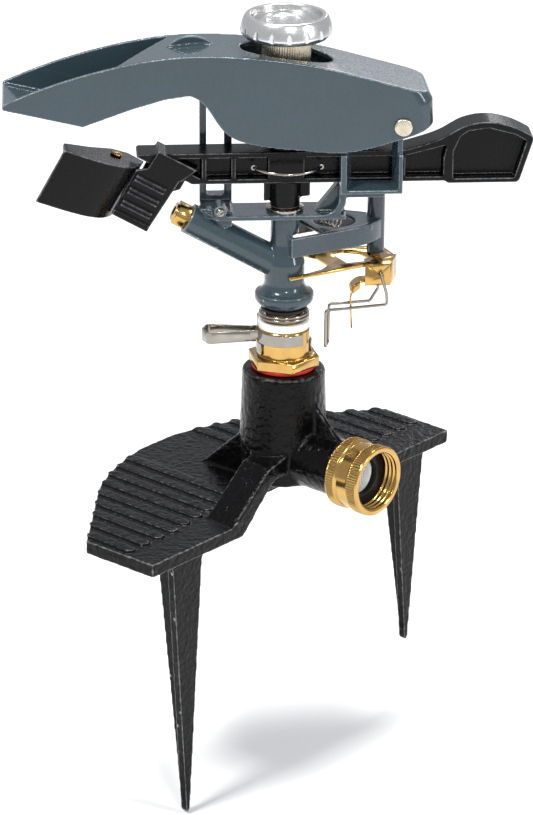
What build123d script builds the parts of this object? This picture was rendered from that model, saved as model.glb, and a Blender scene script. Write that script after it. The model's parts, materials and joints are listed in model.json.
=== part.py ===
from build123d import *
import os
from math import atan2, cos, radians, sin

# Impact sprinkler on a cast step base with two ground spikes, in millimetres.
# +Z is the spin axis of the head, +X runs along the impact arm towards its counterweight.
# The origin is on the spin axis, level with the shoulders of the ground spikes.

os.makedirs("parts", exist_ok=True)

# ---- driving dimensions -------------------------------------------------------------------
BASE_TURN = 45.0        # wings of the base, turned from +X
TRIP_TURN = 25.0        # trip frame of the head, turned from +X
FIT = 0.05              # radial running clearance of a shaft in its hole

PLATE_Z = 10.7          # tread surface of the step plates
WING_X = 104.0          # half span of the wings
WING_FRONT = -15.0      # straight front edge of the wings
SPIKE_X = 78.4          # spikes, along the wings
SPIKE_Y = -10.5
NEAR_SPIKE = 124.3      # spike lengths below the plates
FAR_SPIKE = 93.1

BOSS_R, BOSS_BOTTOM, BOSS_TOP = 19.2, 17.0, 70.7
CAVITY_R = 11.5         # water chamber inside the boss
PIPE_Z, PIPE_R, PIPE_END = 29.4, 13.3, 42.0
PIPE_BORE = 8.5
TAIL_R, TAIL_LENGTH = 10.6, 7.6         # tail of the pipe, on which the hose swivel turns
TAIL_END = PIPE_END - 4 + TAIL_LENGTH
SWIVEL_R, SWIVEL_FACE = 16.25, 57.1
NUT_WALL = 44.2         # inner face of the swivel nut's rear wall
HOSE_R = 13.5           # wall of the hose thread inside the swivel nut

GASKET_TOP = 72.4
HEX_TOP = 77.0
HEX_R, HEX_TURN = 16.8, 40.0    # to a corner, and where the corners are
SLEEVE_R, SLEEVE_TOP = 11.8, 90.2
THREAD_R, THREAD_BOTTOM = 10.4, 56.0
RISER_R, RISER_BORE = 8.65, 6.4
RISER_TOP = 113.0
WASHER_TOP = 93.6
SKIRT_BOTTOM = 100.2
BAND_R, BAND_T, BAND_H = 12.4, 0.9, 5.3

TUBE_R, NECK_R = 9.2, 6.4
BARREL_R, BARREL_BORE = 7.05, 4.6
BARREL_START = 118.5
BARREL_RUN, BARREL_RISE = 43.5, 24.1    # end of the barrel from the axis
BRIDGE_Z, BRIDGE_T, BRIDGE_Y = 144.0, 2.1, 9.75
PIN_R = 2.4             # fulcrum pin of the impact arm
BEAM_Z, BEAM_T = 197.0, 4.0
POST_TOP = 200.0
CRADLE_X0, CRADLE_X1 = 23.5, 51.0       # right hand cradle of the frame
CRADLE_Y0, CRADLE_Y1 = -17.3, -8.2
CRADLE_Z = 158.2
HINGE_X, HINGE_Z = 50.6, 189.6          # tilt axis of the deflector
HINGE_R = 2.2

ARM_Y = 7.2             # half width of the impact arm
ARM_Z0, ARM_Z1 = 160.5, 174.8
HUB_R, HUB_Z0, HUB_Z1 = 6.7, 147.9, 178.5
WEB = 1.3               # half thickness of the arm's web
FLANGE = 2.0

VISOR_Y, VISOR_T = 18.5, 2.0
KNOB_Z0, KNOB_Z1 = 226.6, 236.6
STEM_R = 11.0
LEDGE_Z = 202.5         # ledges inside the visor, under the thrust cup
BUSH_R = 4.2            # bushings of the impact arm

POST_R, KNOB_POST_TOP = 5.0, 222.0      # post that guides the knob stem
PIN_Z0, PIN_Z1 = 131.0, 212.0           # fulcrum pin
PIVOT = (43.0, 20.0)    # trip pivot, in plan
TRIP_PIN_R = 2.0
TRIP_Z, TRIP_T = 116.1, 1.2
WIRE_R = 0.7
WIRE_X, WIRE_Z = 44.0, 113.4            # hinge of the trip wire


# ---- planes ---------------------------------------------------------------------------------
def level(turn, z):
    """Horizontal plane at height z, its x turned about the spin axis."""
    t = radians(turn)
    return Plane(origin=(0, 0, z), x_dir=(cos(t), sin(t), 0), z_dir=(0, 0, 1))


def front(turn, y):
    """Upright plane at depth y: x to the right, y up, normal towards -y."""
    t = radians(turn)
    return Plane(origin=(-y * sin(t), y * cos(t), 0), x_dir=(cos(t), sin(t), 0),
                 z_dir=(sin(t), -cos(t), 0))


def side(turn, x):
    """Upright plane at x: x to the back, y up, normal towards +x."""
    t = radians(turn)
    return Plane(origin=(x * cos(t), x * sin(t), 0), x_dir=(-sin(t), cos(t), 0),
                 z_dir=(cos(t), sin(t), 0))


def outline(*points):
    """Closed polygon face in the current sketch, with its points where they are given."""
    Polygon(*points, align=None)


def save(builder, name):
    builder.part.label = name
    export_step(builder.part, f"parts/{name}.step")


def ring(name, r_out, r_in, z0, z1):
    """Plain round ring about the spin axis."""
    with BuildPart() as built:
        with BuildSketch(Plane.XY.offset(z0)):
            Circle(r_out)
            Circle(r_in, mode=Mode.SUBTRACT)
        extrude(amount=z1 - z0)
    save(built, name)


def coil(radius, wire, z0, z1, turns):
    """Round wire spring about the spin axis, made inside a BuildPart block."""
    with BuildLine() as path:
        Helix(pitch=(z1 - z0) / turns, height=z1 - z0, radius=radius, center=(0, 0, z0))
    with BuildSketch(Plane(origin=path.line @ 0, z_dir=path.line % 0)) as section:
        Circle(wire)
    sweep(section.sketch, path=path.line, is_frenet=True)


# ---- step base --------------------------------------------------------------------------------
PLATE_BOTTOM, PLATE_SKIN, LIP = 4.0, 3.6, 3.2
RIB_PITCH, RIB_W, RIB_H, RIBS = 9.4, 5.6, 0.9, 9
ARM_BACK = 2.0          # rear edge of the sloping arms that carry the boss
BOSS_RIDGE = 35.5
# Right half of the plate, from the middle of its front edge round to the middle of its back.
PLATE_HALF = (
    (0, 9), (24, 9), (40, -3), (51, WING_FRONT), (WING_X, WING_FRONT), (WING_X + 1, 25),
    (92, 35), (80, 44.5), (67, 55), (57, 62.5), (42, 70.5), (26, 76), (12, 79.5),
)


def wing_back(x):
    """Depth of the back edge of the plate at distance x from the middle."""
    points = PLATE_HALF[:4:-1]
    for (x0, y0), (x1, y1) in zip(points, points[1:]):
        if x <= x1:
            return y0 + (y1 - y0) * (x - x0) / (x1 - x0)
    return points[-1][1]


def rib_front(x):
    """Front end of a tread rib, which leaves a plain strip along the front edge."""
    return 1.5 + 0.14 * max(0.0, 72.0 - x)


def plate_face():
    """Outline of both wings in one sketch."""
    outline(*PLATE_HALF, *[(-x, y) for x, y in reversed(PLATE_HALF[1:])])


with BuildPart() as step_base:
    with BuildSketch(level(BASE_TURN, PLATE_BOTTOM)):
        plate_face()
    extrude(amount=PLATE_Z - PLATE_BOTTOM)
    with BuildSketch(level(BASE_TURN, PLATE_BOTTOM)):
        plate_face()
        offset(amount=-LIP, kind=Kind.INTERSECTION, mode=Mode.REPLACE)
    extrude(amount=PLATE_Z - PLATE_SKIN - PLATE_BOTTOM, mode=Mode.SUBTRACT)
    with BuildSketch(level(BASE_TURN, PLATE_Z)):
        for number in range(RIBS):
            x = WING_X - 5 - number * RIB_PITCH
            y0, y1 = rib_front(x), wing_back(x)
            with Locations((x, (y0 + y1) / 2), (-x, (y0 + y1) / 2)):
                RectangleRounded(RIB_W, y1 - y0, RIB_W / 2 - 0.1)
    extrude(amount=RIB_H)
    # sloping arms from the front of each wing up to the boss
    with BuildSketch(front(BASE_TURN, ARM_BACK)):
        for s in (1, -1):
            outline((s * 53, PLATE_BOTTOM), (s * 51, PLATE_Z), (s * 26, 31.5), (s * 12, 35),
                    (s * 12, 25), (s * 22, 24.5), (s * 44, PLATE_BOTTOM))
    extrude(amount=ARM_BACK - WING_FRONT)
    # boss, with a keel that ties it to the plate behind
    with BuildSketch(front(BASE_TURN, 0)):
        outline((0, BOSS_BOTTOM), (17.6, BOSS_BOTTOM), (19.2, BOSS_BOTTOM + 2), (20.2, BOSS_RIDGE),
                (BOSS_R, BOSS_TOP - 1), (BOSS_R - 1, BOSS_TOP), (0, BOSS_TOP))
    revolve(axis=Axis.Z)
    with BuildSketch(side(BASE_TURN, -3)):
        outline((6, PLATE_Z - PLATE_SKIN), (48, PLATE_Z - PLATE_SKIN), (48, PLATE_Z), (18, 38), (6, 38))
    extrude(amount=6)
    # inlet pipe, its swivel tail and the gusset on top of it
    with BuildSketch(front(BASE_TURN, -6)):
        with Locations((0, PIPE_Z)):
            Circle(PIPE_R)
    extrude(amount=PIPE_END - 10)
    with BuildSketch(front(BASE_TURN, 4 - PIPE_END)):
        with Locations((0, PIPE_Z)):
            Circle(TAIL_R)
    extrude(amount=TAIL_LENGTH)
    with BuildSketch(front(BASE_TURN, -NUT_WALL - 0.3)):
        with Locations((0, PIPE_Z)):
            Circle(TAIL_R + 1.2)
    extrude(amount=TAIL_END - NUT_WALL - 0.3)
    with BuildSketch(side(BASE_TURN, -1.6)):
        outline((-15, 59), (-19, 57), (-35.5, 42), (-30, 36), (-15, 36))
    extrude(amount=3.2)
    # water ways
    with BuildSketch(Plane.XY.offset(PIPE_Z - 9)):
        Circle(CAVITY_R)
    extrude(amount=THREAD_BOTTOM - PIPE_Z + 9, mode=Mode.SUBTRACT)
    with BuildSketch(Plane.XY.offset(THREAD_BOTTOM)):
        Circle(THREAD_R + 0.02)
    extrude(amount=BOSS_TOP - THREAD_BOTTOM, mode=Mode.SUBTRACT)
    with BuildSketch(front(BASE_TURN, -6)):
        with Locations((0, PIPE_Z)):
            Circle(PIPE_BORE)
    extrude(amount=PIPE_END + TAIL_LENGTH, mode=Mode.SUBTRACT)
save(step_base, "step_base")


def spike(name, x, length):
    """Tapered ground spike: a flat blade with a stiffening rib behind it."""
    tip = -length
    with BuildPart() as built:
        with BuildSketch(front(BASE_TURN, SPIKE_Y + 2)):
            outline((x - 10.6, PLATE_BOTTOM), (x + 10.6, PLATE_BOTTOM), (x + 9.6, 0), (x + 1.2, tip + 2),
                    (x, tip), (x - 1.2, tip + 2), (x - 9.6, 0))
        extrude(amount=4)
        with BuildSketch(side(BASE_TURN, x - 2)):
            outline((SPIKE_Y, PLATE_BOTTOM), (8, PLATE_BOTTOM), (4, -4), (SPIKE_Y + 1, tip + 6),
                    (SPIKE_Y, tip + 6))
        extrude(amount=4)
    save(built, name)


spike("left_spike", -SPIKE_X, NEAR_SPIKE)
spike("right_spike", SPIKE_X, FAR_SPIKE)
ring("base_gasket", 14.6, THREAD_R + 0.2, BOSS_TOP, GASKET_TOP)

# ---- hose swivel ------------------------------------------------------------------------------
SWIVEL_BACK = 38.4      # rear face of the nut, in front of the pipe shoulder
WASHER_FACE = 49.0      # the hose seals here, and its thread ends here
WASHER_R = 14.0         # pocket that keeps the washer behind the thread
with BuildPart() as swivel_nut:
    with BuildSketch(side(BASE_TURN, 0)):
        outline((-SWIVEL_BACK, PIPE_Z + TAIL_R + FIT), (-SWIVEL_BACK, PIPE_Z + SWIVEL_R - 0.6),
                (-SWIVEL_BACK - 0.6, PIPE_Z + SWIVEL_R), (-43.8, PIPE_Z + SWIVEL_R), (-44.6, PIPE_Z + 15.2),
                (-50.2, PIPE_Z + 15.2), (-51.0, PIPE_Z + SWIVEL_R), (-SWIVEL_FACE + 0.6, PIPE_Z + SWIVEL_R),
                (-SWIVEL_FACE, PIPE_Z + SWIVEL_R - 0.6), (-SWIVEL_FACE, PIPE_Z + HOSE_R),
                (-WASHER_FACE, PIPE_Z + HOSE_R), (-WASHER_FACE, PIPE_Z + WASHER_R),
                (-NUT_WALL, PIPE_Z + WASHER_R), (-NUT_WALL, PIPE_Z + TAIL_R + FIT))
    inlet_axis = Axis((0, 0, PIPE_Z), (sin(radians(BASE_TURN)), -cos(radians(BASE_TURN)), 0))
    revolve(axis=inlet_axis)
save(swivel_nut, "swivel_nut")

with BuildPart() as hose_washer:
    with BuildSketch(front(BASE_TURN, -TAIL_END - 0.3)):
        with Locations((0, PIPE_Z)):
            Circle(WASHER_R - 0.1)
            Circle(8.4, mode=Mode.SUBTRACT)
    extrude(amount=WASHER_FACE - TAIL_END - 0.3)
save(hose_washer, "hose_washer")

with BuildPart() as filter_screen:
    with BuildSketch(side(BASE_TURN, 0)):
        with BuildLine():
            dome = ThreePointArc((-WASHER_FACE + 0.1, PIPE_Z), (-WASHER_FACE + 0.75, PIPE_Z + 4.1),
                                 (-TAIL_END - 0.4, PIPE_Z + 8.2))
            Polyline(dome @ 1, (-TAIL_END - 0.4, PIPE_Z), dome @ 0)
        make_face()
    revolve(axis=inlet_axis)
save(filter_screen, "filter_screen")

# ---- bearing between base and head ------------------------------------------------------------
with BuildPart() as bearing_nipple:
    with BuildSketch(Plane.XY.offset(GASKET_TOP)):
        RegularPolygon(HEX_R, 6, rotation=HEX_TURN)
    extrude(amount=HEX_TOP - GASKET_TOP)
    with BuildSketch(Plane.XZ):
        outline((0, THREAD_BOTTOM), (THREAD_R, THREAD_BOTTOM), (THREAD_R, GASKET_TOP), (SLEEVE_R, GASKET_TOP),
                (SLEEVE_R, SLEEVE_TOP - 0.8), (SLEEVE_R - 0.8, SLEEVE_TOP), (0, SLEEVE_TOP))
    revolve(axis=Axis.Z)
    with BuildSketch(Plane.XY.offset(THREAD_BOTTOM)):
        Circle(RISER_R + FIT)
    extrude(amount=SLEEVE_TOP - THREAD_BOTTOM, mode=Mode.SUBTRACT)
save(bearing_nipple, "bearing_nipple")

RISER_FLANGE = 52.0
with BuildPart() as riser_tube:
    with BuildSketch(Plane.XZ):
        outline((RISER_BORE, RISER_FLANGE - 2), (10.6, RISER_FLANGE - 2), (10.6, RISER_FLANGE),
                (RISER_R, RISER_FLANGE), (RISER_R, RISER_TOP), (RISER_BORE, RISER_TOP))
    revolve(axis=Axis.Z)
save(riser_tube, "riser_tube")
ring("thrust_washer", 10.6, RISER_R + FIT, RISER_FLANGE + 0.1, THREAD_BOTTOM - 0.4)
ring("nylon_washer", 11.7, RISER_R + FIT, SLEEVE_TOP, WASHER_TOP)
ring("dust_seal", 10.6, RISER_R + FIT, SKIRT_BOTTOM - 1.4, SKIRT_BOTTOM - 0.1)

with BuildPart() as thrust_spring:
    coil(10.9, 0.7, WASHER_TOP + 1.1, SKIRT_BOTTOM - 2.4, 2)
save(thrust_spring, "thrust_spring")


def collar(name, turn, z, open_from, open_to):
    """Spring-steel stop clip: an open band on the sleeve with a teardrop finger loop along its x.
    The band is missing between the two given angles, counted from the loop."""
    inner = SLEEVE_R + FIT
    reach = 3 * BAND_R
    middle = radians((open_from + open_to) / 2)
    a, b = radians(open_from), radians(open_to)
    with BuildPart() as built:
        with BuildSketch(level(turn, z)):
            Circle(inner + BAND_T)
            Circle(inner, mode=Mode.SUBTRACT)
            with BuildSketch(mode=Mode.SUBTRACT):
                outline((0, 0), (reach * cos(a), reach * sin(a)), (reach * cos(middle), reach * sin(middle)),
                        (reach * cos(b), reach * sin(b)))
            with Locations((inner, 0)):
                Rectangle(4, 5, mode=Mode.SUBTRACT)
            with BuildSketch():
                with BuildLine():
                    FilletPolyline((11.7, -3.6), (15.5, -3.2), (34.6, -6), (37, 0), (34.6, 6), (15.5, 3.2),
                                   (11.7, 3.6), radius=1.8)
                trace(line_width=BAND_T)
        extrude(amount=BAND_H)
    save(built, name)


UPPER_CLIP_Z, LOWER_CLIP_Z = 84.0, 78.4
UPPER_CLIP_TURN, LOWER_CLIP_TURN = 180.0, 97.0
collar("upper_collar", UPPER_CLIP_TURN, UPPER_CLIP_Z, 130, 210)
collar("lower_collar", LOWER_CLIP_TURN, LOWER_CLIP_Z, 115, 250)

# ---- sprinkler body ---------------------------------------------------------------------------
BARREL_TURN = atan2(BARREL_RISE, BARREL_RUN)
BARREL_END = (-BARREL_RUN, 0, BARREL_START + BARREL_RISE)
BARREL_DIR = (-cos(BARREL_TURN), 0, sin(BARREL_TURN))
BARREL_LENGTH = (BARREL_RUN ** 2 + BARREL_RISE ** 2) ** 0.5
barrel_root = Plane(origin=(0, 0, BARREL_START), x_dir=(0, 1, 0), z_dir=BARREL_DIR)
barrel_end = Plane(origin=BARREL_END, x_dir=(0, 1, 0), z_dir=BARREL_DIR)
SHELF_Z, SHELF_T, BAND_Z0, BAND_Z1 = 132.6, 2.2, 126.0, 135.0
CYLINDER_R, CYLINDER_Z0, CYLINDER_Z1 = 4.1, 118.0, 158.2
TRIP_X = (PIVOT[0] ** 2 + PIVOT[1] ** 2) ** 0.5
SCREW_XZ, SCREW_SEAT = (-29.4, 148.2), BRIDGE_Y + 0.1


def shelf_face(inset):
    """Outline of the trip shelf in the turned frame, drawn inwards by inset."""
    near, far, end = -10.4 + inset, 19.0 - inset, TRIP_X + CYLINDER_R + 0.6 - inset
    with BuildLine() as edge:
        Line((-2 + inset, near), (30, near))
        ThreePointArc((30, near), (43.5, near + 3.4), (end, 0))
        ThreePointArc((end, 0), (45, 9 - inset / 2), (36, far - 2))
        Line((36, far - 2), (30, far))
        Line((30, far), (4, far))
        Line((4, far), (-2 + inset, 10 - inset))
        Line((-2 + inset, 10 - inset), (-2 + inset, near))
    make_face(edge.edges())


with BuildPart() as sprinkler_body:
    # waterway tube with its skirt
    with BuildSketch(Plane.XZ):
        with BuildLine():
            skirt = Polyline((0, SKIRT_BOTTOM), (9.4, SKIRT_BOTTOM), (11.2, 101.2))
            lip = ThreePointArc(skirt @ 1, (13.4, 104.2), (13.1, 107.2))
            flare = ThreePointArc(lip @ 1, (10.6, 108.6), (TUBE_R, 112))
            Polyline(flare @ 1, (TUBE_R, 121.5), (NECK_R, 130), (NECK_R, BRIDGE_Z + BRIDGE_T),
                     (0, BRIDGE_Z + BRIDGE_T), (0, SKIRT_BOTTOM))
        make_face()
    revolve(axis=Axis.Z)
    with BuildSketch(barrel_root):
        Circle(BARREL_R)
    extrude(amount=BARREL_LENGTH)
    # bridge plate under the impact arm
    with BuildSketch(Plane.XY.offset(BRIDGE_Z)):
        outline((-31, -BRIDGE_Y), (18, -BRIDGE_Y), (CRADLE_X0 + 3.3, -BRIDGE_Y), (CRADLE_X0 + 3.3, BRIDGE_Y),
                (-33, BRIDGE_Y), (-36, 4), (-36, -4))
    extrude(amount=BRIDGE_T)
    # left window frame, behind the arm
    with BuildSketch(Plane.XZ.offset(-8.2)):
        outline((-37.9, 141), (-23.4, 141), (-23.4, POST_TOP), (-37.9, POST_TOP))
    extrude(amount=-6.8)
    with BuildSketch(Plane.XZ.offset(-8.2)):
        outline((-34.8, 150.4), (-26.9, 150.4), (-26.9, POST_TOP - 5), (-34.8, POST_TOP - 5))
    extrude(amount=-6.8, mode=Mode.SUBTRACT)
    with BuildSketch(Plane.XY.offset(140)):
        outline((-37.9, -3), (-24, -6.4), (-24, 15), (-37.9, 15))
    extrude(amount=7.6)
    with BuildSketch(Plane.XZ):
        with Locations(SCREW_XZ):
            Circle(2.8)
    extrude(amount=SCREW_SEAT)
    # right cradle: a tapering frame open towards the front, in front of the arm
    cradle_z = CRADLE_Z + 18     # stays under the visor when it is tilted
    with BuildSketch(Plane.XZ.offset(-CRADLE_Y1)):
        outline((CRADLE_X0, CRADLE_Z), (CRADLE_X1, CRADLE_Z), (CRADLE_X1, POST_TOP), (CRADLE_X0, POST_TOP))
    extrude(amount=CRADLE_Y1 + 15.6)
    with BuildSketch(Plane.XZ.offset(15.6)):
        outline((CRADLE_X0, CRADLE_Z), (CRADLE_X1, CRADLE_Z), (CRADLE_X1, cradle_z), (CRADLE_X0, cradle_z))
    extrude(amount=-CRADLE_Y0 - 15.6)
    with BuildSketch(Plane.XZ.offset(-CRADLE_Y0)):
        outline((26, CRADLE_Z + 1.7), (49.2, CRADLE_Z + 1.7), (49.2, 210), (26, 210))
    with BuildSketch(Plane.XZ.offset(-CRADLE_Y1)):
        outline((28.8, CRADLE_Z + 3.6), (46.6, CRADLE_Z + 3.6), (46.6, 210), (28.8, 210))
    loft(mode=Mode.SUBTRACT)
    # curved leg from the bridge plate up to the cradle, with a thin diagonal gusset
    with BuildSketch(Plane.XZ.offset(-CRADLE_Y1 - 1)):
        with BuildLine():
            low = Line((12, BRIDGE_Z), (17.5, BRIDGE_Z))
            bend = ThreePointArc(low @ 1, (24, 146.6), (26.8, 153))
            Polyline(bend @ 1, (26.8, CRADLE_Z + 1), (CRADLE_X0, CRADLE_Z + 1), (CRADLE_X0, 153))
            inner_bend = ThreePointArc((CRADLE_X0, 153), (21.6, 148.6), (16.5, BRIDGE_Z + BRIDGE_T))
            Polyline(inner_bend @ 1, (12, BRIDGE_Z + BRIDGE_T), (12, BRIDGE_Z))
        make_face()
    extrude(amount=BRIDGE_Y - 0.1 + CRADLE_Y1 + 1)
    with BuildSketch(Plane.XZ.offset(-3)):
        outline((12, BRIDGE_Z + 0.5), (CRADLE_X0 + 3, BRIDGE_Z + 0.5), (CRADLE_X0 + 3, CRADLE_Z + 1),
                (CRADLE_X0, CRADLE_Z + 1))
    extrude(amount=BRIDGE_Y - 3)
    with BuildSketch(Plane.XY.offset(CRADLE_Z - 4.6)):
        outline((CRADLE_X0, -8), (44, -8), (47, 16), (40, 24), (36, 16), (CRADLE_X0, 2))
    extrude(amount=4.6)
    # top beam that holds the fulcrum pin, the knob post and the tilt hinge boss
    with BuildSketch(Plane.XY.offset(BEAM_Z)):
        outline((-37.9, 8.4), (-23.4, 8.4), (0, -5.5), (CRADLE_X0, -15.6), (CRADLE_X1, -15.6),
                (CRADLE_X1, -8.4), (28, -8.4), (0, 5.5), (-23.4, 15), (-37.9, 15))
    extrude(amount=BEAM_T)
    with BuildSketch(Plane.XY.offset(BEAM_Z - 1)):
        Circle(6.2)
    extrude(amount=BEAM_T + 1)
    with BuildSketch(Plane.XY.offset(BEAM_Z + BEAM_T)):
        Circle(POST_R)
    extrude(amount=KNOB_POST_TOP - BEAM_Z - BEAM_T)
    with BuildSketch(Plane.XZ.offset(-15.6)):
        with Locations((HINGE_X, HINGE_Z)):
            Circle(4.6)
    extrude(amount=31.2)
    # trip shelf with its rim, and the pivot cylinder
    with BuildSketch(level(TRIP_TURN, BAND_Z0)):
        shelf_face(0)
    extrude(amount=BAND_Z1 - BAND_Z0)
    with BuildSketch(level(TRIP_TURN, BAND_Z0)):
        shelf_face(2.4)
    extrude(amount=BAND_Z1 - BAND_Z0, mode=Mode.SUBTRACT)
    with BuildSketch(level(TRIP_TURN, SHELF_Z)):
        outline((15.5, -9), (40, -9), (46, -4), (46, 6), (36, 16.8), (15.5, 16.8))
        with Locations((28.5, 5.0)):
            Circle(9.6, mode=Mode.SUBTRACT)
    extrude(amount=SHELF_T)
    with BuildSketch(Plane.XY.offset(CYLINDER_Z0)):
        with Locations(PIVOT):
            Circle(CYLINDER_R)
    extrude(amount=CYLINDER_Z1 - CYLINDER_Z0)
    # bores
    with BuildSketch(Plane.XY.offset(SKIRT_BOTTOM)):
        Circle(RISER_R + 0.02)
    extrude(amount=RISER_TOP - SKIRT_BOTTOM, mode=Mode.SUBTRACT)
    with BuildSketch(Plane.XY.offset(RISER_TOP)):
        Circle(6.0)
    extrude(amount=7, mode=Mode.SUBTRACT)
    with BuildSketch(barrel_root):
        Circle(BARREL_BORE)
    extrude(amount=BARREL_LENGTH + 1, mode=Mode.SUBTRACT)
    with BuildSketch(Plane.XY.offset(PIN_Z0)):
        Circle(PIN_R + 0.02)
    extrude(amount=PIN_Z1 - PIN_Z0, mode=Mode.SUBTRACT)
    with BuildSketch(Plane.XY.offset(CYLINDER_Z0)):
        with Locations(PIVOT):
            Circle(TRIP_PIN_R + 0.02)
    extrude(amount=10, mode=Mode.SUBTRACT)
    with BuildSketch(Plane.XZ.offset(-20)):
        with Locations((HINGE_X, HINGE_Z)):
            Circle(HINGE_R + 0.02)
    extrude(amount=40, mode=Mode.SUBTRACT)
save(sprinkler_body, "sprinkler_body")

# ---- small parts of the head ------------------------------------------------------------------
with BuildPart() as nozzle:
    with BuildSketch(barrel_end):
        RegularPolygon(5.8, 6)
    extrude(amount=6.2)
    with BuildSketch(barrel_end.offset(6.2)):
        Circle(4.2)
    extrude(amount=1.0)
    with BuildSketch(barrel_end.offset(-9)):
        Circle(BARREL_BORE - 0.02)
    extrude(amount=9)
    with BuildSketch(barrel_end.offset(-9)):
        Circle(3.6)
    with BuildSketch(barrel_end.offset(7.2)):
        Circle(2.3)
    loft(mode=Mode.SUBTRACT)
save(nozzle, "nozzle")

with BuildPart() as stream_straightener:
    with BuildSketch(barrel_end.offset(-24)):
        for turn in (0, 60, 120):
            Rectangle(2 * BARREL_BORE - 0.4, 0.8, rotation=turn)
    extrude(amount=14)
save(stream_straightener, "stream_straightener")

with BuildPart() as body_screw:
    with BuildSketch(Plane.XZ.offset(SCREW_SEAT)):
        with Locations(SCREW_XZ):
            Circle(1.9)
    extrude(amount=1.5)
    chamfer(body_screw.faces().sort_by(Axis.Y)[0].edges(), 0.4)
    with BuildSketch(Plane.XZ.offset(SCREW_SEAT + 1)):
        with Locations(SCREW_XZ):
            Rectangle(3.6, 0.5, rotation=30)
    extrude(amount=1, mode=Mode.SUBTRACT)
save(body_screw, "body_screw")

with BuildPart() as fulcrum_pin:
    with BuildSketch(Plane.XY.offset(PIN_Z0)):
        Circle(PIN_R)
    extrude(amount=PIN_Z1 - PIN_Z0)
save(fulcrum_pin, "fulcrum_pin")
ring("hub_washer", 8.6, PIN_R + FIT, BRIDGE_Z + BRIDGE_T, HUB_Z0 - 0.3)

with BuildPart() as visor_pin:
    with BuildSketch(Plane.XZ.offset(-VISOR_Y - 1.6)):
        with Locations((HINGE_X, HINGE_Z)):
            Circle(HINGE_R)
    extrude(amount=2 * VISOR_Y + 3.2)
    for y0, out in ((VISOR_Y + 0.2, 1), (-VISOR_Y - 0.2, -1)):
        with BuildSketch(Plane.XZ.offset(y0)):
            with Locations((HINGE_X, HINGE_Z)):
                Circle(4.1)
        extrude(amount=out * 1.4)
    fillet(visor_pin.faces().sort_by(Axis.Y)[0].edges(), 0.9)
    fillet(visor_pin.faces().sort_by(Axis.Y)[-1].edges(), 0.9)
save(visor_pin, "visor_pin")

with BuildPart() as trip_pivot_pin:
    with BuildSketch(Plane.XY.offset(TRIP_Z - 2)):
        with Locations(PIVOT):
            Circle(3.4)
    extrude(amount=1.7)
    with BuildSketch(Plane.XY.offset(TRIP_Z - 0.4)):
        with Locations(PIVOT):
            Circle(TRIP_PIN_R)
    extrude(amount=CYLINDER_Z0 + 9 - TRIP_Z)
save(trip_pivot_pin, "trip_pivot_pin")

SNAP_START, SNAP_DIR = (16.0, 9.4, 138.6), (0.72, -0.69, 0)
with BuildPart() as overcentre_spring:
    with BuildLine() as snap_path:
        Helix(pitch=2.2, height=12.1, radius=2.3, center=SNAP_START, direction=SNAP_DIR)
    with BuildSketch(Plane(origin=snap_path.line @ 0, z_dir=snap_path.line % 0)) as snap_section:
        Circle(0.45)
    sweep(snap_section.sketch, path=snap_path.line, is_frenet=True)
save(overcentre_spring, "overcentre_spring")

# ---- deflector visor --------------------------------------------------------------------------
VISOR_TIP = -125.0
FLOOR_END = -43.3       # the floor of the trough stops here, and the cover's chamber is open below
COVER_NEAR, COVER_FAR = -76.0, -50.0    # where the cover starts at the near and the far wall
TOP_LINE = ((-124.9, 202.0), (-101.8, 211.1), (-77.2, 218.0), (-48.6, 222.4), (-21.4, 222.1),
            (11.3, 217.8), (34.8, 211.8), (62.0, 204.4))
REAR_LINE = ((64.0, 201.0), (64.5, 190.0))
LOW_LINE = ((55.4, 185.4), (49.7, 183.6), (36.6, 179.8), (21.3, 177.8), (7.8, 179.0), (-8.0, 180.8),
            (-17.8, 182.8), (-24.5, 185.4), (-30.0, 190.5), (-36.6, 200.4))
FLOOR_LINE = ((-43.3, 204.9), (-54.0, 203.4), (-68.7, 199.1), (-90.1, 191.4), (-125.3, 199.6))


def visor_profile():
    """Side view of the visor as one face on the current upright sketch."""
    with BuildLine() as edge:
        top_edge = Spline(*TOP_LINE)
        Polyline(top_edge @ 1, *REAR_LINE)
        Spline(REAR_LINE[-1], *LOW_LINE, FLOOR_LINE[0])
        Polyline(*FLOOR_LINE[:4])
        Polyline(FLOOR_LINE[3], FLOOR_LINE[4], TOP_LINE[0])
    make_face(edge.edges())


with BuildPart() as visor_trough:
    with BuildSketch(Plane.XZ.offset(VISOR_T - VISOR_Y)):
        outline(*[(x, z + VISOR_T) for x, z in FLOOR_LINE[:4]], (VISOR_TIP - 3, 202.2), (VISOR_TIP - 3, 240),
                (FLOOR_LINE[0][0], 240))
    extrude(amount=2 * (VISOR_Y - VISOR_T))
    with BuildSketch(Plane.XY.offset(180)):
        outline((VISOR_TIP - 5, -20), (COVER_NEAR - 1.5, -20), (COVER_FAR + 1.5, 20), (VISOR_TIP - 5, 20))
    extrude(amount=60, mode=Mode.INTERSECT)

with BuildPart() as visor_chamber:
    with BuildSketch(Plane.XZ.offset(VISOR_T - VISOR_Y)):
        roof = [(x, z - VISOR_T) for x, z in TOP_LINE[2:7]]
        outline(*roof, (60.5, 202.8), (62.5, 170), (-40.5, 170), (-40.5, 204.8), (FLOOR_END, 206.9),
                *[(x, z + VISOR_T) for x, z in FLOOR_LINE[1:3]], (-79, 197.5))
    extrude(amount=2 * (VISOR_Y - VISOR_T))

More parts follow.
